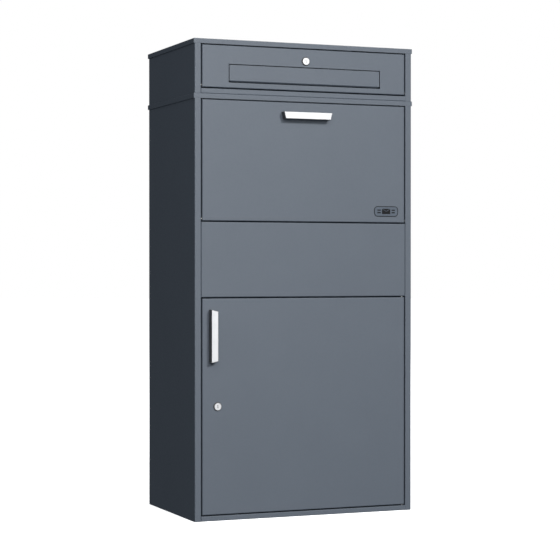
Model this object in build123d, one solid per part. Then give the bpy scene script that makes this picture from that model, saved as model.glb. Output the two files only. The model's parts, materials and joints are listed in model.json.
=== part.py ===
from build123d import *
import math
import os

# Parcel drop box in folded steel sheet: a parcel safe with a tilting hopper
# and a front door, and a letterbox bolted on top of it.
# Millimetres, +Z up, front face towards -Y, origin on the floor under the middle.

# ---- casing ----
WIDTH = 560.0
DEPTH = 342.0
HEIGHT = 1125.0
SAFE_HEIGHT = 997.5        # parcel safe with its lid
SHEET = 1.2
BEND = 2.2                 # outer bend radius of the folded sheet
TIGHT_BEND = 1.6           # the same on lids, floor pans and the letter flap
POST = 16.0                # face width of the front returns beside the doors
REAR_RETURN = 15.0
GAP = 2.5                  # reveal round every door
RAIL = 12.0                # height of each floor pan's rail and upstands
SKIRT = 11.5               # height of each lid's skirt
OVERHANG = 2.0             # how far a lid stands out at the sides and the back
LID_SEAM = 0.3             # between a lid's front skirt and the posts below it
HEADER_LEG = 20.0          # both legs of the angle under each lid
PANEL_BOTTOM = 522.3       # fixed front panel
PANEL_TOP = 698.5
PAN_DEPTH = 14.0           # returns behind every door face
STOP_DEPTH = 16.5          # from the front face to the rebate flange
STOP_WIDTH = 6.0           # width of the rebate flange
RIB_X = 130.0              # pressed ribs of the back panels
RIB_HALF = 12.0
RIB_END = 25.0
SLIP = 0.2                 # room between sheets that slide into each other
SEAM = 0.05                # paint between two joined sheets

# ---- fasteners ----
RIVET_R = 1.6
RIVET_HOLE = 1.7
RIVET_HEAD_R = 3.2
RIVET_HEAD = 1.1
RIVET_TAIL_R = 2.6
RIVET_TAIL = 1.6
BOLT_R = 3.0
BOLT_HOLE = 3.2
BOLT_HEX = 10.0            # across flats
BOLT_HEAD = 4.0
NUT_HEIGHT = 5.0
THREAD_FIT = 0.02          # bores that grip what passes through them
WALL_ANCHOR_R = 4.5
FLOOR_ANCHOR_R = 5.5

# ---- hinges ----
PIVOT_INSET = 5.0          # hinge axis from the door's two nearest outer faces
PIN_R = 2.0
PIN_CLEARANCE = 0.05
PIN_HEAD_R = 2.8
PIN_HEAD = 2.5
BUSH_R = 3.2
BUSH_FLANGE_R = 4.4
BUSH_FLANGE = 1.0
BUSH_REACH = 4.5
FLAP_OPENING = 50.0        # degrees

# ---- rubber bumpers ----
BUMPER_R = 1.9
BUMPER_X = 210.0
BUMPER_EDGE = 0.6          # from a bumper to the upper edge of its door

# ---- hopper behind the parcel flap ----
TRAY_SLOPE = 42.0          # degrees below level when the flap is shut
TRAY_RUN = 205.0
TRAY_LIP = 8.0
CHEEK_R = 222.0
CHEEK_X = 255.5            # outer face of each cheek
CHEEK_RUN = 196.0          # length of the cheek along the tray
CHEEK_FLANGE = 15.0
LUG_R = 246.0
LUG_ANGLES = (28.0, 34.0)
HOPPER_RIVET_RUNS = (40.0, 100.0, 160.0)
STOP_Z = 941.0             # height of the flap's end stops
STOP_PLATE = 2.0
BUFFER_R = 5.0
BUFFER_ROOM = 1.2          # left between the buffer and the lug at full opening

# ---- guard behind the hopper ----
BAFFLE_TOP = 905.0
BAFFLE_FOOT = (60.0, 752.0)            # lower edge, just clear of the tray's swing
BAFFLE_HALF = 251.0

# ---- handles ----
HANDLE_LONG = 124.0
HANDLE_SHORT = 116.0
HANDLE_WIDTH = 16.5
HANDLE_STAND = 18.0
HANDLE_WALL = 2.0
HANDLE_PITCH = 96.0        # between its two screws
HANDLE_BOSS_R = 4.0
HANDLE_SCREW_R = 1.9
HANDLE_DROP = 31.5         # from the flap's top edge to the handle's middle
DOOR_HANDLE = (-236.2, 431.8)

# ---- locks ----
LETTER_LOCK = (0.0, 1082.4)
PARCEL_LOCK = (-223.7, 267.3)
LOCK_HEAD_R = 10.5
LOCK_HEAD = 3.0
LOCK_BEVEL = 2.2
LOCK_BARREL_R = 9.0
LOCK_BARREL = 16.0
LOCK_NUT_HEX = 24.0        # across flats
LOCK_NUT = 4.0
PLUG_R = 6.0
PLUG_RECESS = 0.3
KEYWAY_HALF = (0.8, 3.6)
KEYWAY_DEPTH = 5.0
CAM_THICK = 2.0
CAM_WIDTH = 14.0
CAM_SQUARE = 6.0

# ---- badge ----
BADGE = (212.0, 728.1)
BADGE_SIZE = (64.0, 25.0)
BADGE_CORNER = 9.0
BADGE_RIM = 1.6
BADGE_PLATE = 0.6
BADGE_RAISED = 0.4

# ---- letter slot ----
SLOT_HALF = 193.6
SLOT_TOP = 1066.2
SLOT_BEND = 1029.4         # where the finger lip starts
SLOT_BOTTOM = 1024.6       # lower edge of the cut-out
SLOT_REVEAL = 2.0
FLAP_SET_BACK = 0.15       # of the letter flap's face behind the door's
LIP_RUN = 4.2
LIP_ANGLE = 50.0           # degrees inwards from straight down
LIP_TRIM = 2.0             # cut off each end of the lip
ROD_Z = 1063.0
ROD_R = 2.0
ROD_HALF = 192.0
KNUCKLE_R = 3.5
KNUCKLES = ((-190, -110), (-40, 40), (110, 190))
EAR_R = 3.2
EAR_THICK = 2.0
EARS = (-105, -45, 45, 105)
SPRING_X = 60.0
SPRING_WIRE_R = 0.4
SPRING_R = 2.7
SPRING_TURNS = 12
SPRING_PITCH = 1.6
SPRING_LEGS = (16.0, 9.0)  # up to the door skin, down to the flap

# ---- worked out from the above ----
FRONT = -DEPTH / 2
BACK = DEPTH / 2
SIDE = WIDTH / 2
MOUTH = SIDE - POST                    # inner edge of the front returns
DOOR_X = MOUTH - GAP                   # half width of every door
PIVOT_Y = FRONT + PIVOT_INSET
STOP_Y = FRONT + STOP_DEPTH            # front face of the rebate flange
INNER_BACK = BACK - 2 * SHEET          # inner face of the back panels
SKIN_BACK = FRONT + SHEET              # rear face of every door skin
SAFE_WALL_TOP = SAFE_HEIGHT - SHEET
LETTER_WALL_TOP = HEIGHT - SHEET
DOOR_TOP = PANEL_BOTTOM - GAP
DOOR_BOTTOM = RAIL + GAP
FLAP_BOTTOM = PANEL_TOP + GAP
FLAP_TOP = SAFE_HEIGHT - SKIRT - GAP
LETTER_BOTTOM = SAFE_HEIGHT + RAIL + GAP
LETTER_TOP = HEIGHT - SKIRT - GAP
FLAP_PIVOT_Z = FLAP_BOTTOM + PIVOT_INSET
LETTER_PIVOT_Z = LETTER_BOTTOM + PIVOT_INSET
DOOR_PIVOT_X = DOOR_X - PIVOT_INSET
PIN_BORE = PIN_R + PIN_CLEARANCE
BUSH_HOLE = BUSH_R + THREAD_FIT
SCREW_SPOTS = (-HANDLE_PITCH / 2, HANDLE_PITCH / 2)
SCREW_HOLE = HANDLE_SCREW_R + 0.2
LOCK_HOLE = LOCK_BARREL_R + 0.1
CAM_Y = STOP_Y + SHEET + 0.5           # front face of both lock cams
ROD_Y = SKIN_BACK + 3.7
TRAY_START = FRONT + PAN_DEPTH + 5     # where the tray leaves the flap's lower return
TRAY_BASE = FLAP_BOTTOM + SHEET
TRAY_HALF = CHEEK_X - SHEET - 0.5
STOP_FACE = STOP_Y + SHEET + STOP_PLATE

# ---- places where pieces are joined ----
BACK_RIVET_X = SIDE - 8
SAFE_BACK_RIVETS = [60 + 145 * i for i in range(7)]
LETTER_BACK_RIVETS = [SAFE_HEIGHT + 30, SAFE_HEIGHT + 95]
PANEL_RIVETS = [(MOUTH, FRONT + 8, z) for z in (PANEL_BOTTOM + 40, PANEL_TOP - 40)]
BAFFLE_RIVETS = [(x, BACK - SHEET, BAFFLE_TOP + 14) for x in (-200, 0, 200)]
MODULE_BOLTS = [(x, y) for x in (-200, 200) for y in (-110, 110)]
FLOOR_ANCHORS = [(x, y) for x in (-220, 220) for y in (-115, 115)]
WALL_ANCHORS = [(x, BACK, z) for x in (-200, 200) for z in (130, 480)]
LOWER_PIN = (DOOR_PIVOT_X, PIVOT_Y, RAIL)
UPPER_PIN = (DOOR_PIVOT_X, PIVOT_Y, PANEL_BOTTOM)

ALONG_X, ALONG_Y, ALONG_Z = (1, 0, 0), (0, 1, 0), (0, 0, 1)
UP = (Align.CENTER, Align.CENTER, Align.MIN)

parts = {}


# ---- shapes used all over ----
def block(x0, x1, y0, y1, z0, z1):
    """Box between two corners."""
    centre = ((x0 + x1) / 2, (y0 + y1) / 2, (z0 + z1) / 2)
    return Pos(*centre) * Box(abs(x1 - x0), abs(y1 - y0), abs(z1 - z0))


def rod(radius, start, end):
    """Round bar from one point to another."""
    axis = Vector(*end) - Vector(*start)
    return Plane(origin=start, z_dir=axis) * Cylinder(radius, axis.length, align=UP)


def hexagon(across, start, end):
    """Hexagonal bar from one point to another."""
    axis = Vector(*end) - Vector(*start)
    face = RegularPolygon(across / 2, 6, major_radius=False)
    return extrude(Plane(origin=start, z_dir=axis) * face, amount=axis.length)


def on_from(point, direction, run):
    """The point a run further on in a direction."""
    return tuple(p + d * run for p, d in zip(point, direction))


def fold(points, bend=BEND):
    """Cross-section of a sheet folded along an outline; its body lies left of the line."""
    path = FilletPolyline(*points, radius=bend)
    return make_face(offset(path, amount=SHEET, side=Side.LEFT))


def long_fold(points, half, bend=BEND):
    """Folded sheet that runs along X, with its outline given as (y, z) points."""
    return Pos(-half, 0, 0) * extrude(Plane.YZ * fold(points, bend), amount=2 * half)


def tall_fold(points, z0, z1):
    """Folded sheet that runs along Z, with its outline given as (x, y) points."""
    return Pos(0, 0, z0) * extrude(fold(points), amount=z1 - z0)


def pan(half, z0, z1):
    """Door skin: a flat face with four returns folded to the rear."""
    outer = block(-half, half, FRONT, FRONT + PAN_DEPTH, z0, z1)
    outer = fillet(outer.faces().sort_by(Axis.Y)[0].edges(), BEND)
    inner = half - SHEET
    hollow = block(-inner, inner, SKIN_BACK, FRONT + PAN_DEPTH + 1, z0 + SHEET, z1 - SHEET)
    hollow = fillet(hollow.faces().sort_by(Axis.Y)[0].edges(), BEND - SHEET)
    return outer - hollow


def both_sides(make):
    """The same piece at the left and at the right, mirrored about the middle plane."""
    right = make()
    return [mirror(right, about=Plane.YZ), right]


def drill(piece, radius, spots, axis, reach=8):
    """Holes through a piece along one axis, centred on each spot."""
    for spot in spots:
        piece -= rod(radius, on_from(spot, axis, -reach / 2), on_from(spot, axis, reach / 2))
    return piece


def mirrored(spots):
    """The spots and their mirror images at the left."""
    return [(side * x, y, z) for side in (-1, 1) for x, y, z in spots]


def rivet(seat, outward, grip):
    """Blind rivet: domed head outside the seat, shank through the grip, and its set tail."""
    inner = on_from(seat, outward, -grip)
    head = Plane(origin=seat, z_dir=outward) * Cylinder(RIVET_HEAD_R, RIVET_HEAD, align=UP)
    rim = head.edges().sort_by(lambda edge: (edge.center() - Vector(*seat)).dot(Vector(*outward)))
    head = fillet(rim[-1], 0.7)
    tail = rod(RIVET_TAIL_R, on_from(inner, outward, -RIVET_TAIL), inner)
    return head + rod(RIVET_R, inner, seat) + tail


# ---- casings: sides, backs, floors and lids of the two modules ----
def side_panel(z0, z1, rivet_heights, pin_height, panel_rivets):
    """Right-hand side: rebate flange, reveal, front return, side and rear return."""
    outline = [
        (MOUTH - STOP_WIDTH, STOP_Y),
        (MOUTH, STOP_Y),
        (MOUTH, FRONT),
        (SIDE, FRONT),
        (SIDE, BACK),
        (SIDE - REAR_RETURN, BACK),
    ]
    piece = tall_fold(outline, z0, z1)
    under_lid = z1 + SHEET - SKIRT - LID_SEAM
    behind_skirt = SKIN_BACK + LID_SEAM
    piece -= block(MOUTH - STOP_WIDTH - 1, SIDE + 1, FRONT - 1, behind_skirt, under_lid, z1 + 1)
    piece = drill(piece, RIVET_HOLE, [(BACK_RIVET_X, BACK, z) for z in rivet_heights], ALONG_Y)
    piece = drill(piece, PIN_BORE, [(MOUTH, PIVOT_Y, pin_height)], ALONG_X)
    return drill(piece, RIVET_HOLE, panel_rivets, ALONG_X)


def back_panel(z0, z1, rivet_heights, anchors):
    """Flat rear sheet inside the sides' rear returns, stiffened by two pressed ribs."""
    half = SIDE - BEND - SLIP
    piece = block(-half, half, INNER_BACK, INNER_BACK + SHEET, z0, z1)
    for x in (-RIB_X, RIB_X):
        rib = block(
            x - RIB_HALF, x + RIB_HALF, INNER_BACK + SHEET, BACK - SLIP, z0 + RIB_END, z1 - RIB_END
        )
        piece += chamfer(rib.faces().sort_by(Axis.Y)[-1].edges(), 0.7)
    rivets = mirrored([(BACK_RIVET_X, BACK, z) for z in rivet_heights])
    piece = drill(piece, RIVET_HOLE, rivets, ALONG_Y)
    return drill(piece, WALL_ANCHOR_R, anchors, ALONG_Y)


def floor_pan(z0, holes, hole_r):
    """Floor with a rail folded up at the front, and upstands at the back and both sides."""
    rear = INNER_BACK - SLIP
    outline = [
        (FRONT + PAN_DEPTH, z0 + RAIL),
        (FRONT, z0 + RAIL),
        (FRONT, z0),
        (rear, z0),
        (rear, z0 + RAIL),
    ]
    piece = long_fold(outline, MOUTH - SLIP, TIGHT_BEND)
    edge = SIDE - SHEET - SLIP
    notch_front = STOP_Y - BEND - SLIP
    notch_back = STOP_Y + SHEET + 0.5
    for side in (-1, 1):
        tab = (side * (MOUTH - 1), side * edge, notch_back, rear - 2)
        piece += block(*tab, z0, z0 + SHEET)
        upstand = (side * (edge - SHEET), side * edge, notch_back, rear - 2)
        piece += block(*upstand, z0, z0 + RAIL)
        notch = (side * (MOUTH - STOP_WIDTH - 0.3), side * (MOUTH + 3), notch_front, notch_back)
        piece -= block(*notch, z0 - 1, z0 + RAIL)
    return drill(piece, hole_r, [(x, y, z0) for x, y in holes], ALONG_Z)


def lid(top, bolts):
    """Flat cover whose skirt is flush at the front and hangs over the sides and the back."""
    side, rear = SIDE + OVERHANG, BACK + OVERHANG
    outer = block(-side, side, FRONT, rear, top - SKIRT, top)
    outer = fillet(outer.faces().sort_by(Axis.Z)[-1].edges(), TIGHT_BEND)
    inner = side - SHEET
    hollow = block(-inner, inner, SKIN_BACK, rear - SHEET, top - SKIRT - 1, top - SHEET)
    hollow = fillet(hollow.faces().sort_by(Axis.Z)[-1].edges(), TIGHT_BEND - SHEET)
    return drill(outer - hollow, BOLT_HOLE, [(x, y, top) for x, y in bolts], ALONG_Z)


def header(top):
    """Angle under a lid: the stop for the door's upper edge and the catch for its lock."""
    outline = [(STOP_Y + HEADER_LEG, top), (STOP_Y, top), (STOP_Y, top - HEADER_LEG)]
    return long_fold(outline, MOUTH - STOP_WIDTH - 0.5)


parts["safe_side_left"], parts["safe_side_right"] = both_sides(
    lambda: side_panel(0, SAFE_WALL_TOP, SAFE_BACK_RIVETS, FLAP_PIVOT_Z, PANEL_RIVETS)
)
parts["letterbox_side_left"], parts["letterbox_side_right"] = both_sides(
    lambda: side_panel(SAFE_HEIGHT, LETTER_WALL_TOP, LETTER_BACK_RIVETS, LETTER_PIVOT_Z, [])
)
safe_back = back_panel(0.5, SAFE_WALL_TOP, SAFE_BACK_RIVETS, WALL_ANCHORS)
parts["safe_back"] = drill(safe_back, RIVET_HOLE, BAFFLE_RIVETS, ALONG_Y)
parts["letterbox_back"] = back_panel(SAFE_HEIGHT, LETTER_WALL_TOP, LETTER_BACK_RIVETS, [])
safe_floor = floor_pan(0, FLOOR_ANCHORS, FLOOR_ANCHOR_R)
parts["safe_floor"] = drill(safe_floor, PIN_BORE, [LOWER_PIN], ALONG_Z)
parts["letterbox_floor"] = floor_pan(SAFE_HEIGHT, MODULE_BOLTS, BOLT_HOLE)
parts["safe_lid"] = lid(SAFE_HEIGHT, MODULE_BOLTS)
parts["letterbox_lid"] = lid(HEIGHT, [])
parts["flap_header"] = header(SAFE_WALL_TOP)
parts["letterbox_header"] = header(LETTER_WALL_TOP)

# fixed front panel between the flap and the safe door
front_panel = pan(MOUTH - SLIP, PANEL_BOTTOM, PANEL_TOP)
front_panel = drill(front_panel, PIN_BORE, [UPPER_PIN], ALONG_Z)
parts["fixed_front_panel"] = drill(front_panel, RIVET_HOLE, mirrored(PANEL_RIVETS), ALONG_X)


# ---- fasteners of the cabinet ----
def module_bolt(x, y):
    """Hexagon bolt, head up in the letterbox, through its floor and the safe's lid."""
    seat = (x, y, SAFE_HEIGHT + SHEET)
    head = hexagon(BOLT_HEX, seat, on_from(seat, ALONG_Z, BOLT_HEAD))
    return head + rod(BOLT_R, on_from(seat, ALONG_Z, -2 * SHEET - 8), seat)


def module_nut(x, y):
    """Nut under the safe's lid."""
    seat = (x, y, SAFE_HEIGHT - SHEET)
    bottom = on_from(seat, ALONG_Z, -NUT_HEIGHT)
    bore = rod(BOLT_R + THREAD_FIT, on_from(bottom, ALONG_Z, -1), on_from(seat, ALONG_Z, 1))
    return hexagon(BOLT_HEX, bottom, seat) - bore


parts["module_bolts"] = Compound([module_bolt(x, y) for x, y in MODULE_BOLTS])
parts["module_nuts"] = Compound([module_nut(x, y) for x, y in MODULE_BOLTS])
parts["panel_rivets"] = Compound(
    [
        rivet((side * (MOUTH + SHEET), y, z), (side, 0, 0), 2 * SHEET + SLIP)
        for side in (-1, 1)
        for x, y, z in PANEL_RIVETS
    ]
)
parts["back_rivets"] = Compound(
    [
        rivet((side * BACK_RIVET_X, BACK, z), ALONG_Y, 2 * SHEET)
        for side in (-1, 1)
        for z in SAFE_BACK_RIVETS + LETTER_BACK_RIVETS
    ]
)


# ---- hinge pins and bushes: each door turns on two short pins ----
def pin(mouth, along):
    """Headed pin that passes out of the frame at mouth and into the door."""
    tail = on_from(mouth, along, -SHEET - PIN_HEAD)
    tip = on_from(mouth, along, GAP + SHEET + BUSH_REACH)
    return rod(PIN_HEAD_R, tail, on_from(mouth, along, -SHEET)) + rod(PIN_R, tail, tip)


def bush(mouth, along):
    """Flanged bush: its flange fills part of the reveal and its sleeve sits in the return."""
    seat = on_from(mouth, along, GAP - BUSH_FLANGE)
    end = on_from(mouth, along, GAP + BUSH_REACH)
    flange = rod(BUSH_FLANGE_R, seat, on_from(mouth, along, GAP))
    return flange + rod(BUSH_R, seat, end) - rod(PIN_BORE, mouth, on_from(end, along, 1))


def level_hinge(pivot_z):
    """Where a level hinge axis leaves the two front returns, and which way each pin points."""
    return [((side * MOUTH, PIVOT_Y, pivot_z), (-side, 0, 0)) for side in (-1, 1)]


HINGES = {
    "flap": level_hinge(FLAP_PIVOT_Z),
    "safe_door": [(UPPER_PIN, (0, 0, -1)), (LOWER_PIN, ALONG_Z)],
    "letterbox_door": level_hinge(LETTER_PIVOT_Z),
}
for name, seats in HINGES.items():
    parts[name + "_hinge_pins"] = Compound([pin(*seat) for seat in seats])
    parts[name + "_hinge_bushes"] = Compound([bush(*seat) for seat in seats])


# ---- rubber bumpers between the doors and the frame ----
def bumpers(spots):
    """Domed rubber buttons on the frame, one at each (x, z)."""
    buttons = []
    for x, z in spots:
        button = rod(BUMPER_R, (x, FRONT + PAN_DEPTH + SLIP, z), (x, STOP_Y, z))
        buttons.append(fillet(button.edges().sort_by(Axis.Y)[0], 0.8))
    return Compound(buttons)


bumper_drop = BUMPER_R + BUMPER_EDGE
flange_x = MOUTH - STOP_WIDTH + BUMPER_R
parts["flap_bumpers"] = bumpers([(x, FLAP_TOP - bumper_drop) for x in (-BUMPER_X, BUMPER_X)])
parts["letterbox_door_bumpers"] = bumpers(
    [(x, LETTER_TOP - bumper_drop) for x in (-BUMPER_X, BUMPER_X)]
)
parts["safe_door_bumpers"] = bumpers([(-flange_x, z) for z in (60, 470)])


# ---- handles: a bent trapezoid cup, open at the back and along its short edge ----
def handle():
    """Handle on the plane y = FRONT, its long edge upwards, its middle at the origin of x and z."""
    front = Plane(origin=(0, FRONT, 0), x_dir=ALONG_X, z_dir=(0, -1, 0))
    half = HANDLE_WIDTH / 2
    inset = 1.3 * HANDLE_WALL          # along the long edge, for a full wall at the sloping ends
    rim = Polyline(
        (-HANDLE_LONG / 2, half),
        (HANDLE_LONG / 2, half),
        (HANDLE_SHORT / 2, -half),
        (-HANDLE_SHORT / 2, -half),
        close=True,
    )
    hollow = Polyline(
        (-HANDLE_LONG / 2 + inset, half - HANDLE_WALL),
        (HANDLE_LONG / 2 - inset, half - HANDLE_WALL),
        (HANDLE_SHORT / 2 - inset, -half - 2),
        (-HANDLE_SHORT / 2 + inset, -half - 2),
        close=True,
    )
    shell = extrude(front * make_face(rim), amount=HANDLE_STAND)
    shell = fillet(shell.faces().sort_by(Axis.Y)[0].edges(), 0.8)
    shell -= extrude(front * make_face(hollow), amount=HANDLE_STAND - HANDLE_WALL)
    for x in SCREW_SPOTS:
        shell += rod(HANDLE_BOSS_R, (x, FRONT, 0), (x, FRONT - HANDLE_STAND + HANDLE_WALL, 0))
        shell -= rod(HANDLE_SCREW_R + 0.1, (x, FRONT + 1, 0), (x, FRONT - 12, 0))
    return shell


def handle_screws():
    """Two slotted pan-head screws behind the sheet, into the handle's bosses."""
    screws = []
    for x in SCREW_SPOTS:
        head = rod(4.0, (x, SKIN_BACK, 0), (x, SKIN_BACK + 2.6, 0))
        head = fillet(head.edges().sort_by(Axis.Y)[-1], 1.0)
        head -= block(x - 3, x + 3, SKIN_BACK + 1.6, SKIN_BACK + 3, -0.5, 0.5)
        screws.append(head + rod(HANDLE_SCREW_R, (x, FRONT - 10, 0), (x, SKIN_BACK, 0)))
    return Compound(screws)


FLAP_HANDLE_Z = FLAP_TOP - HANDLE_DROP
at_flap = Pos(0, 0, FLAP_HANDLE_Z)
at_door = Pos(DOOR_HANDLE[0], 0, DOOR_HANDLE[1]) * Rot(0, -90, 0)
parts["flap_handle"] = at_flap * handle()
parts["flap_handle_screws"] = at_flap * handle_screws()
parts["safe_door_handle"] = at_door * handle()
parts["safe_door_handle_screws"] = at_door * handle_screws()

# ---- parcel flap ----
flap = pan(DOOR_X, FLAP_BOTTOM, FLAP_TOP)
flap = drill(flap, BUSH_HOLE, mirrored([(DOOR_X, PIVOT_Y, FLAP_PIVOT_Z)]), ALONG_X)
flap_screws = [(x, FRONT, FLAP_HANDLE_Z) for x in SCREW_SPOTS]
parts["flap_panel"] = drill(flap, SCREW_HOLE, flap_screws, ALONG_Y)

# ---- hopper behind the flap ----
slope_angle = math.radians(TRAY_SLOPE)
slope = Vector(0, math.cos(slope_angle), -math.sin(slope_angle))
slope_up = Vector(0, math.sin(slope_angle), math.cos(slope_angle))


def about_hinge(radius, degrees):
    """(y, z) at a radius and an angle above level, measured about the flap's hinge axis."""
    angle = math.radians(degrees)
    return (PIVOT_Y + radius * math.cos(angle), FLAP_PIVOT_Z + radius * math.sin(angle))


def above_tray(run, rise=0.0):
    """(y, z) on the tray's slope, a run down from its bend and a rise above its top."""
    spot = Vector(0, TRAY_START, TRAY_BASE) + slope * run + slope_up * (SHEET + SEAM + rise)
    return (spot.Y, spot.Z)


def tray():
    """Sloping floor of the hopper, from the flap's lower return to a turned-down lip."""
    start = Vector(0, TRAY_START, TRAY_BASE)
    end = start + slope * TRAY_RUN
    lip = end - slope_up * TRAY_LIP
    outline = [(SKIN_BACK + 1.5, TRAY_BASE)] + [(spot.Y, spot.Z) for spot in (start, end, lip)]
    return long_fold(outline, TRAY_HALF)


def cheek():
    """Right-hand cheek: a sector about the hinge, flanged to the flap and to the tray."""
    face_y = SKIN_BACK + SEAM
    top_z = FLAP_PIVOT_Z + CHEEK_R
    corner_z = TRAY_BASE + SHEET + SEAM
    low, high = LUG_ANGLES
    with BuildSketch(Plane.YZ) as outline:
        with BuildLine():
            Polyline(
                (face_y, top_z),
                (face_y, corner_z),
                (TRAY_START, corner_z),
                above_tray(3),
                above_tray(CHEEK_RUN),
            )
            ThreePointArc(above_tray(CHEEK_RUN), about_hinge(CHEEK_R, 25), (face_y, top_z))
        make_face()
        with BuildLine():
            Polyline(
                about_hinge(CHEEK_R - 5, low),
                about_hinge(LUG_R, low),
                about_hinge(LUG_R, high),
                about_hinge(CHEEK_R - 5, high),
                close=True,
            )
        make_face()
    plate = Pos(CHEEK_X - SHEET, 0, 0) * extrude(outline.sketch, amount=SHEET)
    inner_x = CHEEK_X - CHEEK_FLANGE
    plate += block(inner_x, CHEEK_X, face_y, face_y + SHEET, corner_z + 12, top_z - 8)
    along_tray = Plane(origin=(CHEEK_X, *above_tray(14)), x_dir=slope, z_dir=slope_up)
    edges = (Align.MIN, Align.MIN, Align.MIN)
    return plate + along_tray * Box(CHEEK_RUN - 24, CHEEK_FLANGE, SHEET, align=edges)


parts["hopper_tray"] = tray()
parts["hopper_cheek_left"], parts["hopper_cheek_right"] = both_sides(cheek)
hopper_spots = [
    (side * (CHEEK_X - CHEEK_FLANGE / 2), *above_tray(run, SHEET))
    for side in (-1, 1)
    for run in HOPPER_RIVET_RUNS
]
for name in ("hopper_tray", "hopper_cheek_left", "hopper_cheek_right"):
    parts[name] = drill(parts[name], RIVET_HOLE, hopper_spots, tuple(slope_up))
parts["hopper_rivets"] = Compound(
    [rivet(spot, tuple(slope_up), 2 * SHEET + SEAM) for spot in hopper_spots]
)

# ---- guard behind the hopper ----
baffle_back = INNER_BACK - SEAM
baffle = long_fold(
    [
        (BAFFLE_FOOT[0] + 8, BAFFLE_FOOT[1] - 4),
        BAFFLE_FOOT,
        (baffle_back, BAFFLE_TOP),
        (baffle_back, BAFFLE_TOP + 25),
    ],
    BAFFLE_HALF,
)
parts["rear_baffle"] = drill(baffle, RIVET_HOLE, BAFFLE_RIVETS, ALONG_Y)
parts["baffle_rivets"] = Compound(
    [rivet(spot, ALONG_Y, 2 * SHEET + SEAM) for spot in BAFFLE_RIVETS]
)

# ---- end stops of the flap: a plate on each rebate flange, with a rubber buffer ----
cheek_mid = CHEEK_X - SHEET / 2
lug_angle = math.radians(90 - FLAP_OPENING - LUG_ANGLES[1])
lug_face = PIVOT_Y + (STOP_Z - FLAP_PIVOT_Z) * math.tan(lug_angle)


def stop_plate():
    """Plate behind the right-hand rebate flange."""
    return block(cheek_mid - 6, MOUTH, STOP_Y + SHEET, STOP_FACE, STOP_Z - 9, STOP_Z + 9)


def stop_buffer():
    """Rubber buffer that meets the lug of the right-hand cheek."""
    buffer = rod(
        BUFFER_R, (cheek_mid, STOP_FACE, STOP_Z), (cheek_mid, lug_face - BUFFER_ROOM, STOP_Z)
    )
    return fillet(buffer.edges().sort_by(Axis.Y)[-1], 1.0)


parts["flap_stop_plates"] = Compound(both_sides(stop_plate))
parts["flap_stop_buffers"] = Compound(both_sides(stop_buffer))


# ---- badge ----
def badge():
    """Plate at the flap's lower right, with a raised border and a raised envelope sign."""
    plate_w, plate_h = BADGE_SIZE
    front = Plane(origin=(BADGE[0], FRONT - SEAM, BADGE[1]), x_dir=ALONG_X, z_dir=(0, -1, 0))
    outline = RectangleRounded(plate_w, plate_h, BADGE_CORNER)
    inner_corner = BADGE_CORNER - BADGE_RIM
    rim = outline - RectangleRounded(plate_w - 2 * BADGE_RIM, plate_h - 2 * BADGE_RIM, inner_corner)
    wide, tall, groove = 22.0, 13.0, 1.0
    sign = Rectangle(wide, tall)
    fold_angle = math.degrees(math.atan2(tall / 2, wide / 2))
    for side in (-1, 1):
        strip = Rectangle(math.hypot(wide, tall) / 2, groove, align=(Align.MIN, Align.CENTER))
        sign -= Rot(0, 0, 90 - side * (90 - fold_angle)) * strip
        for z in (-3, 3):
            sign += Pos(side * 19.0, z) * Rectangle(9, 2.8)
    piece = extrude(front * outline, amount=BADGE_PLATE)
    return piece + extrude(front.offset(BADGE_PLATE) * (rim + sign), amount=BADGE_RAISED)


parts["badge"] = badge()

# ---- safe door ----
door = pan(DOOR_X, DOOR_BOTTOM, DOOR_TOP)
door = drill(door, BUSH_HOLE, [(DOOR_PIVOT_X, PIVOT_Y, z) for z in (DOOR_BOTTOM, DOOR_TOP)], ALONG_Z)
door_screws = [(DOOR_HANDLE[0], FRONT, DOOR_HANDLE[1] + z) for z in SCREW_SPOTS]
door = drill(door, SCREW_HOLE, door_screws, ALONG_Y)
parcel_lock_spot = (PARCEL_LOCK[0], FRONT, PARCEL_LOCK[1])
parts["safe_door_panel"] = drill(door, LOCK_HOLE, [parcel_lock_spot], ALONG_Y)

# hat-shaped stiffener up the middle of the door's inside
hat_foot = SKIN_BACK + SEAM + SHEET
hat_top = SKIN_BACK + SEAM + 10
parts["safe_door_stiffener"] = tall_fold(
    [(42, hat_foot), (26, hat_foot), (20, hat_top), (-20, hat_top), (-26, hat_foot), (-42, hat_foot)],
    DOOR_BOTTOM + 40,
    DOOR_TOP - 40,
)


# ---- cam locks, one on each locked door ----
def lock_body(x, z):
    """Round head outside the door and a barrel through it, bored for the plug."""
    face, end = (x, FRONT - LOCK_HEAD, z), (x, FRONT + LOCK_BARREL, z)
    head = rod(LOCK_HEAD_R, face, (x, FRONT, z))
    head = chamfer(head.edges().sort_by(Axis.Y)[0], LOCK_BEVEL)
    bore = rod(PLUG_R + PIN_CLEARANCE, on_from(face, ALONG_Y, -1), on_from(end, ALONG_Y, 1))
    return head + rod(LOCK_BARREL_R, (x, FRONT, z), end) - bore


def lock_nut(x, z):
    """Hexagon nut that clamps the barrel to the door."""
    seat = (x, SKIN_BACK, z)
    bore = rod(
        LOCK_BARREL_R + THREAD_FIT, on_from(seat, ALONG_Y, -1), on_from(seat, ALONG_Y, LOCK_NUT + 1)
    )
    return hexagon(LOCK_NUT_HEX, seat, on_from(seat, ALONG_Y, LOCK_NUT)) - bore


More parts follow.
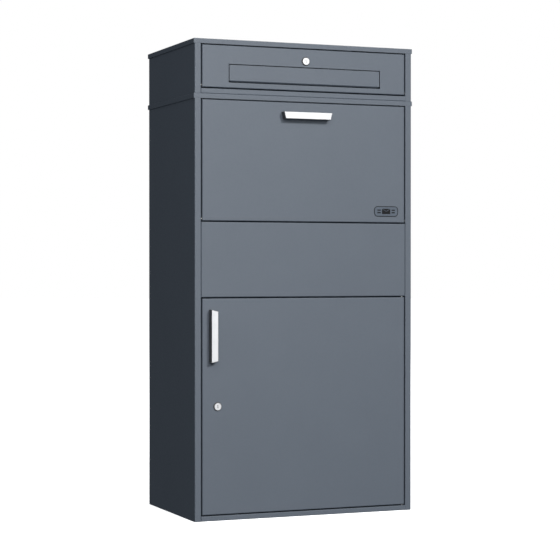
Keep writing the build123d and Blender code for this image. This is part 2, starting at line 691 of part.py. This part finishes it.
def lock_plug(x, z):
    """Plug with an upright keyway in front and a square for the cam behind."""
    face = FRONT - LOCK_HEAD + PLUG_RECESS
    plug = rod(PLUG_R, (x, face, z), (x, CAM_Y, z))
    half = CAM_SQUARE / 2
    plug += block(x - half, x + half, CAM_Y, CAM_Y + CAM_THICK, z - half, z + half)
    key_x, key_z = KEYWAY_HALF
    plug -= block(x - key_x, x + key_x, face - 1, face + KEYWAY_DEPTH, z - key_z, z + key_z)
    return plug - rod(1.6, (x, CAM_Y - 8, z), (x, CAM_Y + 3, z))


def lock_cam(x, z, reach, turn):
    """Flat cam on the plug's square, pointing along turn."""
    with BuildSketch(Plane(origin=(x, CAM_Y, z), x_dir=ALONG_X, z_dir=ALONG_Y)) as outline:
        with Locations(Location((0, 0), turn)):
            Circle(CAM_WIDTH / 2)
            Rectangle(reach - 2, CAM_WIDTH, align=(Align.MIN, Align.CENTER))
            with Locations((reach - 4, 0)):
                RectangleRounded(8, CAM_WIDTH, 2)
        Rectangle(CAM_SQUARE + 0.1, CAM_SQUARE + 0.1, mode=Mode.SUBTRACT)
    return extrude(outline.sketch, amount=CAM_THICK)


def cam_screw(x, z):
    """Screw that holds the cam on the plug."""
    back = CAM_Y + CAM_THICK
    head = rod(4.2, (x, back, z), (x, back + 2.4, z))
    head = fillet(head.edges().sort_by(Axis.Y)[-1], 0.8)
    return head + rod(1.5, (x, CAM_Y - 7, z), (x, back, z))


LOCKS = {
    "safe_lock": (PARCEL_LOCK, 42.0, 90),
    "letterbox_lock": (LETTER_LOCK, 27.0, 180),
}
for name, (spot, cam_reach, cam_turn) in LOCKS.items():
    parts[name + "_body"] = lock_body(*spot)
    parts[name + "_nut"] = lock_nut(*spot)
    parts[name + "_plug"] = lock_plug(*spot)
    parts[name + "_cam"] = lock_cam(*spot, cam_reach, cam_turn)
    parts[name + "_cam_screw"] = cam_screw(*spot)

# ---- letterbox door with its slot ----
door = pan(DOOR_X, LETTER_BOTTOM, LETTER_TOP)
door = drill(door, BUSH_HOLE, mirrored([(DOOR_X, PIVOT_Y, LETTER_PIVOT_Z)]), ALONG_X)
door = drill(door, LOCK_HOLE, [(LETTER_LOCK[0], FRONT, LETTER_LOCK[1])], ALONG_Y)
slot_x = SLOT_HALF + SLOT_REVEAL
parts["letterbox_door_panel"] = door - block(
    -slot_x, slot_x, FRONT - 1, SKIN_BACK + 1, SLOT_BOTTOM, SLOT_TOP + SLOT_REVEAL
)


def letter_flap():
    """Slot flap: a flat face, a finger lip bent inwards below it, and knuckles on the rod."""
    face = FRONT + FLAP_SET_BACK
    angle = math.radians(LIP_ANGLE)
    lip = (face + LIP_RUN * math.sin(angle), SLOT_BEND - LIP_RUN * math.cos(angle))
    piece = long_fold([(face, SLOT_TOP), (face, SLOT_BEND), lip], SLOT_HALF, TIGHT_BEND)
    for side in (-1, 1):
        trim = (side * (SLOT_HALF - LIP_TRIM), side * (SLOT_HALF + 1), FRONT - 2, FRONT + 10)
        piece -= block(*trim, SLOT_BEND - 8, SLOT_BEND - 0.8)
    for x0, x1 in KNUCKLES:
        piece += rod(KNUCKLE_R, (x0, ROD_Y, ROD_Z), (x1, ROD_Y, ROD_Z))
        piece += block(x0, x1, face + SHEET / 2, ROD_Y, ROD_Z - SHEET, ROD_Z + SHEET)
    for x0, x1 in KNUCKLES:
        piece -= rod(ROD_R + PIN_CLEARANCE, (x0 - 1, ROD_Y, ROD_Z), (x1 + 1, ROD_Y, ROD_Z))
    return piece


def ear(x):
    """Bracket behind the door skin that carries the rod; its foot is welded above the slot."""
    foot = SKIN_BACK + SEAM
    low = SLOT_TOP + SLOT_REVEAL + 0.6
    arm = Polyline(
        (foot, low),
        (ROD_Y - 1.2, ROD_Z + 2.9),
        (ROD_Y, ROD_Z),
        (ROD_Y + EAR_R, ROD_Z),
        (ROD_Y + EAR_R, ROD_Z + 8),
        (foot, low + 9),
        close=True,
    )
    outline = make_face(arm) + Pos(ROD_Y, ROD_Z) * Circle(EAR_R)
    plate = Pos(x - EAR_THICK / 2, 0, 0) * extrude(Plane.YZ * outline, amount=EAR_THICK)
    plate += block(x - 6, x + 6, foot, foot + SHEET, low, low + 9)
    return plate - rod(ROD_R + THREAD_FIT, (x - 5, ROD_Y, ROD_Z), (x + 5, ROD_Y, ROD_Z))


def spring():
    """Torsion spring on the rod: a close coil with one leg on the skin and one on the flap."""
    axis = Plane(origin=(SPRING_X, ROD_Y, ROD_Z), x_dir=(0, -1, 0), z_dir=ALONG_X)
    path = axis * Helix(SPRING_PITCH, SPRING_PITCH * SPRING_TURNS, SPRING_R)
    section = Plane(origin=path @ 0, z_dir=path % 0) * Circle(SPRING_WIRE_R)
    coil = sweep(section, path=path, is_frenet=True)
    first, last = tuple(path @ 0), tuple(path @ 1)
    up = rod(SPRING_WIRE_R, first, on_from(first, ALONG_Z, SPRING_LEGS[0]))
    down = rod(SPRING_WIRE_R, on_from(last, ALONG_Z, -SPRING_LEGS[1]), last)
    return coil + up + down


parts["letter_flap"] = letter_flap()
parts["letter_flap_brackets"] = Compound([ear(x) for x in EARS])
parts["letter_flap_rod"] = rod(ROD_R, (-ROD_HALF, ROD_Y, ROD_Z), (ROD_HALF, ROD_Y, ROD_Z))
parts["letter_flap_spring"] = spring()

os.makedirs("parts", exist_ok=True)
for name, piece in parts.items():
    piece.label = name
    export_step(piece, f"parts/{name}.step")
print(len(parts), "sub-parts written")
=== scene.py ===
import json
import math

import bpy
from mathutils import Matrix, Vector

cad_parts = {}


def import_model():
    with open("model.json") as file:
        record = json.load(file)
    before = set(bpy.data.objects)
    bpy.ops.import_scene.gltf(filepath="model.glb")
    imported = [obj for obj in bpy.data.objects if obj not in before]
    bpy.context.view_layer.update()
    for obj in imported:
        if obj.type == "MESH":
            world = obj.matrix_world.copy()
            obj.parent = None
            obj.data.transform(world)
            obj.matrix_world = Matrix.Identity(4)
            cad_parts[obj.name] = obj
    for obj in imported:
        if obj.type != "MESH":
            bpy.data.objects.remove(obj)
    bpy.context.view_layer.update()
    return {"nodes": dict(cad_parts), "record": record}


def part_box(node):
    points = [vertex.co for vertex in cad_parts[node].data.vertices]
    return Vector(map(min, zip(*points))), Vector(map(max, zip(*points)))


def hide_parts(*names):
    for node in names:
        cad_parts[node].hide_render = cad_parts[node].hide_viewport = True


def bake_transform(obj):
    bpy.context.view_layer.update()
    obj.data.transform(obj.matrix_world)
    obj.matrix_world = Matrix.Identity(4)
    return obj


# Parcel drop box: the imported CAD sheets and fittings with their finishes, on a pale studio floor.
# Metres, +Z up, front towards -Y, origin on the floor under the middle of the casing.

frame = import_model()
nodes = frame["nodes"]

# ---------------------------------------------------------------- places taken from the frame
CASE_LOW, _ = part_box("safe_side_left")
_, LID_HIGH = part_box("letterbox_lid")
BADGE_LOW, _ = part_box("badge")
FRONT_Y = CASE_LOW.y
HEIGHT = LID_HIGH.z

# ---------------------------------------------------------------- finishes, colours in linear RGB
ANTHRACITE = (0.0575, 0.0704, 0.0890)
ANTHRACITE_SHADE = (0.0545, 0.0669, 0.0850)
COAT_ROUGHNESS = (0.56, 0.65)
GRAIN_SHADE = 0.9                          # pinpoints of the paint, as a share of its shade
GRAIN_SHARE = 0.35                         # how far the paint turns to its pinpoints' colour
BADGE_PLATE = (0.066, 0.080, 0.100)
BADGE_SHADE = 0.92                         # mottles of the plate, as a share of its colour
BADGE_ROUGHNESS = (0.38, 0.47)
BADGE_INK = (0.002, 0.002, 0.003)
BADGE_RAISED = 0.0004                      # height of the badge's rim and sign above its plate
BADGE_SPECULAR = 0.2
SATIN = (0.565, 0.565, 0.57)
# painted shade and dark painted reflection for the plating's sideways walls
SATIN_PAINTED_SHADE = (0.09, 0.09, 0.092)
SATIN_METALLIC = 0.45                      # the share of the satin plating that mirrors
SATIN_ROUGHNESS = 0.36
WORN = 0.96                                # clouds on metal, as a share of its tone
PAINTED_SHADE_FADE = (0.965, 0.998)                    # between these frontal values the painted shade on sideways walls gives way to the plated face's tone
ZINC = (0.62, 0.61, 0.58)
SPRING_STEEL = (0.38, 0.38, 0.39)
NYLON = (0.030, 0.031, 0.034)
RUBBER = (0.02, 0.02, 0.021)
NARROW = (0.35, 0.65)                      # the part of a noise's range that a change spreads over
WIDE = (0.3, 0.7)
BRUSHED = {"x": (0.03, 1, 1), "z": (1, 1, 0.03), None: (1, 1, 1)}    # stretch of the metal's lines

# noises: features per metre, detail and, where it isn't a half, roughness
COAT_MOTTLE = (9.0, 4.0, 0.6)
COAT_GRAIN = (1500.0, 2.0, 0.7)
COAT_SHEEN = (260.0, 3.0)
COAT_PEEL = (420.0, 1.5, 0.4)
COAT_FINE = (2400.0, 1.0)
BADGE_MOTTLE = (30.0, 4.0, 0.6)
METAL_LINES = (1800.0, 3.0, 0.6)
METAL_CLOUD = (60.0, 3.0)
DUST = (40.0, 4.0)
MOULD_TEXTURE = (1600.0, 2.0)
FLOOR_MOTTLE = (1.2, 2.0)

# bumps: strength and height in metres
PEEL_BUMP = (0.12, 0.0004)
FINE_BUMP = (0.08, 0.0001)
LINES_BUMP = (0.05, 0.00005)
MOULD_BUMP = (0.15, 0.0001)

# ---------------------------------------------------------------- slot flap's spring
SPRING_WIRE = 0.0004                       # radius of the wire
SPRING_TURNS = 12
SPRING_STEPS = 20                          # points on each turn

# ---------------------------------------------------------------- studio and camera
FLOOR_RADIUS = 30.0
FLOOR_DROP = 1e-4                          # how far the floor lies below the object's feet
FLOOR_TONES = ((0.80, 0.80, 0.80), (0.78, 0.78, 0.79))
# painted light: the floor's glow, dimmer near the middle and brighter far away
FLOOR_GLOW = (0.8, 1.0)
FLOOR_GLOW_REACH = (0.5, 2.0)              # distances from the middle between which the floor's painted glow grows brighter
PAINTED_SHADE_INSET = 0.012                         # how far in from the casing's outline the floor's painted shade under the object starts
SURROUNDINGS = 0.179
SURROUNDINGS_TINT = (0.88, 1.0, 1.14, 1.0)
AIM = Vector((0, FRONT_Y, HEIGHT * 0.53))  # point on the front that the lights face

# name, direction from the middle of the front, distance, width and height, power
LIGHTS = (
    ("key", (0.226, -0.843, 0.487), 12.0, (1.7, 1.7), 1370),
    ("near", (-0.25, -0.88, 0.45), 3.2, (2.4, 2.4), 82),
    ("front", (-0.08, -0.97, 0.10), 6.0, (5.0, 5.0), 88),
    ("rear", (0.50, 0.70, 0.80), 7.0, (4.0, 4.0), 320),
)

LENS = 112.88                              # on a sensor of SENSOR mm
SENSOR = 36.0
CAMERA_PLACE = (-1.6442, -4.0170, 0.5897)
CAMERA_TURN = (math.radians(90 - 0.376), 0.0, math.radians(-22.31))
FARTHEST = 100.0                           # how far the camera sees


# ---------------------------------------------------------------- node trees
class Tree:
    """A material's node tree with short calls for the nodes used here."""

    def __init__(self, name):
        self.material = bpy.data.materials.new(name)
        self.material.use_nodes = True
        self.nodes = self.material.node_tree.nodes
        self.links = self.material.node_tree.links
        self.shader = self.nodes["Principled BSDF"]
        coordinates = self.nodes.new("ShaderNodeTexCoord")
        self.place = coordinates.outputs["Object"]
        self.normal = coordinates.outputs["Normal"]

    def link(self, source, target):
        self.links.new(source, target)

    def feed(self, name, source):
        """Links a socket to the shader's input of that name."""
        self.link(source, self.shader.inputs[name])

    def noise(self, scale, detail=2.0, roughness=0.5, stretch=None):
        """Noise in object space; scale is features per metre, stretch squeezes an axis."""
        node = self.nodes.new("ShaderNodeTexNoise")
        node.inputs["Scale"].default_value = scale
        node.inputs["Detail"].default_value = detail
        node.inputs["Roughness"].default_value = roughness
        place = self.place
        if stretch:
            mapping = self.nodes.new("ShaderNodeMapping")
            mapping.inputs["Scale"].default_value = stretch
            self.link(place, mapping.inputs["Vector"])
            place = mapping.outputs["Vector"]
        self.link(place, node.inputs["Vector"])
        return node.outputs["Fac"]

    def spread(self, value, low, high, to_low, to_high):
        """The value mapped from low..high to to_low..to_high, clamped."""
        node = self.nodes.new("ShaderNodeMapRange")
        node.inputs["From Min"].default_value = low
        node.inputs["From Max"].default_value = high
        node.inputs["To Min"].default_value = to_low
        node.inputs["To Max"].default_value = to_high
        self.link(value, node.inputs["Value"])
        return node.outputs["Result"]

    def blend(self, factor, first, second):
        """Colour between two colours or sockets."""
        node = self.nodes.new("ShaderNodeMix")
        node.data_type = "RGBA"
        self.link(factor, node.inputs["Factor"])
        sockets = [s for s in node.inputs if s.type == "RGBA"]
        for socket, colour in zip(sockets, (first, second)):
            if isinstance(colour, bpy.types.NodeSocket):
                self.link(colour, socket)
            else:
                socket.default_value = (*colour, 1.0)
        return [s for s in node.outputs if s.type == "RGBA"][0]

    def frontal(self):
        """How squarely a face looks to the front or the rear of its own piece, from 0 to 1."""
        return self.math("ABSOLUTE", self.axis(self.normal, "Y"))

    def math(self, operation, *values):
        """Maths on sockets or numbers."""
        node = self.nodes.new("ShaderNodeMath")
        node.operation = operation
        for socket, value in zip(node.inputs, values):
            if isinstance(value, bpy.types.NodeSocket):
                self.link(value, socket)
            else:
                socket.default_value = value
        return node.outputs[0]

    def axis(self, vector, name):
        """One component of a vector."""
        split = self.nodes.new("ShaderNodeSeparateXYZ")
        self.link(vector, split.inputs[0])
        return split.outputs[name]

    def outside(self, value, limit):
        """1 where the value's size is past a limit, 0 where it isn't."""
        return self.math("GREATER_THAN", self.math("ABSOLUTE", value), limit)

    def bump(self, height, strength, distance, below=None):
        """Normal bent by a height, on top of the normal below it."""
        node = self.nodes.new("ShaderNodeBump")
        node.inputs["Strength"].default_value = strength
        node.inputs["Distance"].default_value = distance
        self.link(height, node.inputs["Height"])
        if below is not None:
            self.link(below, node.inputs["Normal"])
        return node.outputs["Normal"]


def powder_coat(name):
    """Satin powder coat: mottled tone, pinpoint texture and orange peel."""
    tree = Tree(name)
    mottle = tree.spread(tree.noise(*COAT_MOTTLE), *NARROW, 0.0, 1.0)
    grain = tree.spread(tree.noise(*COAT_GRAIN), *WIDE, 0.0, 1.0)
    broad = tree.blend(mottle, ANTHRACITE, ANTHRACITE_SHADE)
    dark = tuple(GRAIN_SHADE * c for c in ANTHRACITE_SHADE)
    tree.feed("Base Color", tree.blend(tree.spread(grain, 0.0, 1.0, 0.0, GRAIN_SHARE), broad, dark))
    tree.feed("Roughness", tree.spread(tree.noise(*COAT_SHEEN), *WIDE, *COAT_ROUGHNESS))
    peel = tree.bump(tree.noise(*COAT_PEEL), *PEEL_BUMP)
    tree.feed("Normal", tree.bump(tree.noise(*COAT_FINE), *FINE_BUMP, peel))
    return tree.material


def badge_coat(name, face_y):
    """Painted plate whose raised rim and sign, close to face_y, are dark."""
    tree = Tree(name)
    mottle = tree.spread(tree.noise(*BADGE_MOTTLE), *NARROW, 0.0, 1.0)
    broad = tree.blend(mottle, BADGE_PLATE, tuple(BADGE_SHADE * c for c in BADGE_PLATE))
    ink_end, plate_start = face_y + BADGE_RAISED * 0.5, face_y + BADGE_RAISED * 0.75
    ink = tree.spread(tree.axis(tree.place, "Y"), ink_end, plate_start, 1.0, 0.0)
    tree.feed("Base Color", tree.blend(ink, broad, BADGE_INK))
    tree.feed("Roughness", tree.spread(tree.noise(*COAT_SHEEN), *WIDE, *BADGE_ROUGHNESS))
    tree.feed("Normal", tree.bump(tree.noise(*COAT_PEEL), *PEEL_BUMP))
    tree.shader.inputs["Specular IOR Level"].default_value = BADGE_SPECULAR
    return tree.material


def polished(name, tone, roughness, brushed=None, painted_shade_tone=None, metallic=1.0):
    """Plated or bare metal; brushed names the axis along which fine lines run, and the wall tone is
    the painted shade and dark painted reflection on faces that don't look to the front or the rear."""
    tree = Tree(name)
    tree.shader.inputs["Metallic"].default_value = metallic
    lines = tree.noise(*METAL_LINES, BRUSHED[brushed])
    cloud = tree.spread(tree.noise(*METAL_CLOUD), *NARROW, 0.0, 1.0)
    colour = tree.blend(cloud, tone, tuple(WORN * c for c in tone))
    # painted shade and dark painted reflection: walls that look sideways take the darker tone
    if painted_shade_tone:
        colour = tree.blend(tree.spread(tree.frontal(), *PAINTED_SHADE_FADE, 0.0, 1.0), painted_shade_tone, colour)
    tree.feed("Base Color", colour)
    tree.feed("Roughness", tree.spread(lines, *WIDE, roughness * 0.75, roughness * 1.3))
    tree.feed("Normal", tree.bump(lines, *LINES_BUMP))
    return tree.material


def satin_chrome(name, brushed):
    """Satin plating of the handles and locks, with painted shade and dark painted reflection on the
    walls that look sideways.
    """
    return polished(name, SATIN, SATIN_ROUGHNESS, brushed, SATIN_PAINTED_SHADE, SATIN_METALLIC)


def moulded(name, tone, roughness):
    """Rubber or plastic with a fine matt texture."""
    tree = Tree(name)
    dust = tree.spread(tree.noise(*DUST), 0.35, 0.7, 0.0, 1.0)
    pale = tuple(min(1.0, 1.25 * c + 0.01) for c in tone)
    tree.feed("Base Color", tree.blend(dust, tone, pale))
    tree.feed("Roughness", tree.spread(dust, 0.0, 1.0, roughness, roughness + 0.1))
    tree.feed("Normal", tree.bump(tree.noise(*MOULD_TEXTURE), *MOULD_BUMP))
    return tree.material


finishes = {
    "powder_coat": powder_coat("powder_coat_anthracite"),
    "badge_coat": badge_coat("badge_coat", BADGE_LOW.y),
    "zinc_steel": polished("zinc_plated_steel", ZINC, 0.32),
    "spring_steel": polished("spring_steel", SPRING_STEEL, 0.3, "x"),
    "chrome": satin_chrome("satin_chrome", None),
    "nylon": moulded("black_nylon", NYLON, 0.45),
    "rubber": moulded("black_rubber", RUBBER, 0.6),
}


def dress(node, material):
    """Gives a CAD node its material."""
    mesh = nodes[node].data
    mesh.materials.clear()
    mesh.materials.append(material)


for row in frame["record"]["subparts"]:
    dress(row["node"], finishes[row["material_slot"]])
dress("flap_handle", satin_chrome("satin_chrome_along_x", "x"))
dress("safe_door_handle", satin_chrome("satin_chrome_along_z", "z"))


# ---------------------------------------------------------------- slot flap spring
def slot_spring():
    """Torsion spring on the slot flap's rod, coiled from its upper leg to its lower leg, in place
    of the CAD spring."""
    low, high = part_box("letter_flap_spring")
    hinges = {joint["name"]: joint["pos_m"] for joint in frame["record"]["behaviour"]["joints"]}
    _, axis_y, axis_z = hinges["letter_flap_hinge"]
    start, end = low.x + SPRING_WIRE, high.x - SPRING_WIRE
    radius = axis_y - low.y - SPRING_WIRE
    count = SPRING_TURNS * SPRING_STEPS
    points = [(start, axis_y - radius, high.z)]
    for step in range(count + 1):
        angle = math.tau * step / SPRING_STEPS
        x = start + (end - start) * step / count
        points.append((x, axis_y - radius * math.cos(angle), axis_z - radius * math.sin(angle)))
    points.append((end, axis_y - radius, low.z))
    curve = bpy.data.curves.new("slot_spring", "CURVE")
    curve.dimensions = "3D"
    curve.bevel_depth = SPRING_WIRE
    curve.bevel_resolution = 2
    curve.use_fill_caps = True
    spline = curve.splines.new("POLY")
    spline.points.add(len(points) - 1)
    for point, place in zip(spline.points, points):
        point.co = (*place, 1.0)
    wire = bpy.data.objects.new("slot_spring_wire", curve)
    mesh = bpy.data.meshes.new_from_object(wire)
    bpy.data.objects.remove(wire)
    mesh.materials.clear()
    mesh.materials.append(finishes["spring_steel"])
    mesh.shade_smooth()
    piece = bpy.data.objects.new("slot_spring", mesh)
    bpy.context.scene.collection.objects.link(piece)
    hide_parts("letter_flap_spring")
    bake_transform(piece)


slot_spring()


# ---------------------------------------------------------------- studio
def area_light(name, place, target, size, power):
    """Soft rectangular light at place, facing target."""
    data = bpy.data.lights.new(name, "AREA")
    data.shape = "RECTANGLE"
    data.size, data.size_y = size
    data.energy = power
    lamp = bpy.data.objects.new(name, data)
    lamp.location = place
    lamp.rotation_euler = (Vector(target) - Vector(place)).to_track_quat("-Z", "Y").to_euler()
    bpy.context.scene.collection.objects.link(lamp)


def floor():
    """Pale studio floor with a painted glow that grows away from the middle to melt into the
    backdrop, painted shade under the casing, and the object's soft shadow.
    """
    bpy.ops.mesh.primitive_circle_add(
        vertices=96, radius=FLOOR_RADIUS, fill_type="NGON", location=(0, 0, -FLOOR_DROP)
    )
    plane = bpy.context.object
    plane.name = "studio_floor"
    tree = Tree("studio_floor")
    tone = tree.spread(tree.noise(*FLOOR_MOTTLE), *WIDE, 0.0, 1.0)
    tree.feed("Base Color", tree.blend(tone, *FLOOR_TONES))
    tree.shader.inputs["Roughness"].default_value = 0.9
    tree.shader.inputs["Emission Color"].default_value = (1, 1, 1, 1)
    distance = tree.nodes.new("ShaderNodeVectorMath")
    distance.operation = "LENGTH"
    tree.link(tree.place, distance.inputs[0])
    glow = tree.spread(distance.outputs["Value"], *FLOOR_GLOW_REACH, *FLOOR_GLOW)
    # painted shade: no glow under the casing's outline
    beside = tree.outside(tree.axis(tree.place, "X"), -CASE_LOW.x - PAINTED_SHADE_INSET)
    before = tree.outside(tree.axis(tree.place, "Y"), -FRONT_Y - PAINTED_SHADE_INSET)
    lit = tree.math("MAXIMUM", beside, before)
    tree.feed("Emission Strength", tree.math("MULTIPLY", glow, lit))
    plane.data.materials.append(tree.material)
    plane.visible_diffuse = False
    plane.visible_glossy = False
    plane.visible_shadow = False


def world():
    """White backdrop to look at, and an even, dimmer glow that lights the object from all round."""
    scene_world = bpy.data.worlds.new("studio")
    scene_world.use_nodes = True
    tree = scene_world.node_tree
    surroundings = tree.nodes["Background"]
    surroundings.inputs["Color"].default_value = SURROUNDINGS_TINT
    surroundings.inputs["Strength"].default_value = SURROUNDINGS
    backdrop = tree.nodes.new("ShaderNodeBackground")
    backdrop.inputs["Color"].default_value = (1, 1, 1, 1)
    backdrop.inputs["Strength"].default_value = 1.0
    rays = tree.nodes.new("ShaderNodeLightPath")
    mix = tree.nodes.new("ShaderNodeMixShader")
    tree.links.new(rays.outputs["Is Camera Ray"], mix.inputs["Fac"])
    tree.links.new(surroundings.outputs["Background"], mix.inputs[1])
    tree.links.new(backdrop.outputs["Background"], mix.inputs[2])
    tree.links.new(mix.outputs["Shader"], tree.nodes["World Output"].inputs["Surface"])
    bpy.context.scene.world = scene_world


floor()
world()
for name, direction, distance, size, power in LIGHTS:
    area_light(name, AIM + Vector(direction).normalized() * distance, AIM, size, power)

# ---------------------------------------------------------------- camera
camera_data = bpy.data.cameras.new("camera")
camera_data.lens = LENS
camera_data.sensor_width = SENSOR
camera_data.clip_end = FARTHEST
camera = bpy.data.objects.new("camera", camera_data)
camera.location = CAMERA_PLACE
camera.rotation_euler = CAMERA_TURN
bpy.context.scene.collection.objects.link(camera)
bpy.context.scene.camera = camera
bpy.context.scene.view_settings.view_transform = "Standard"
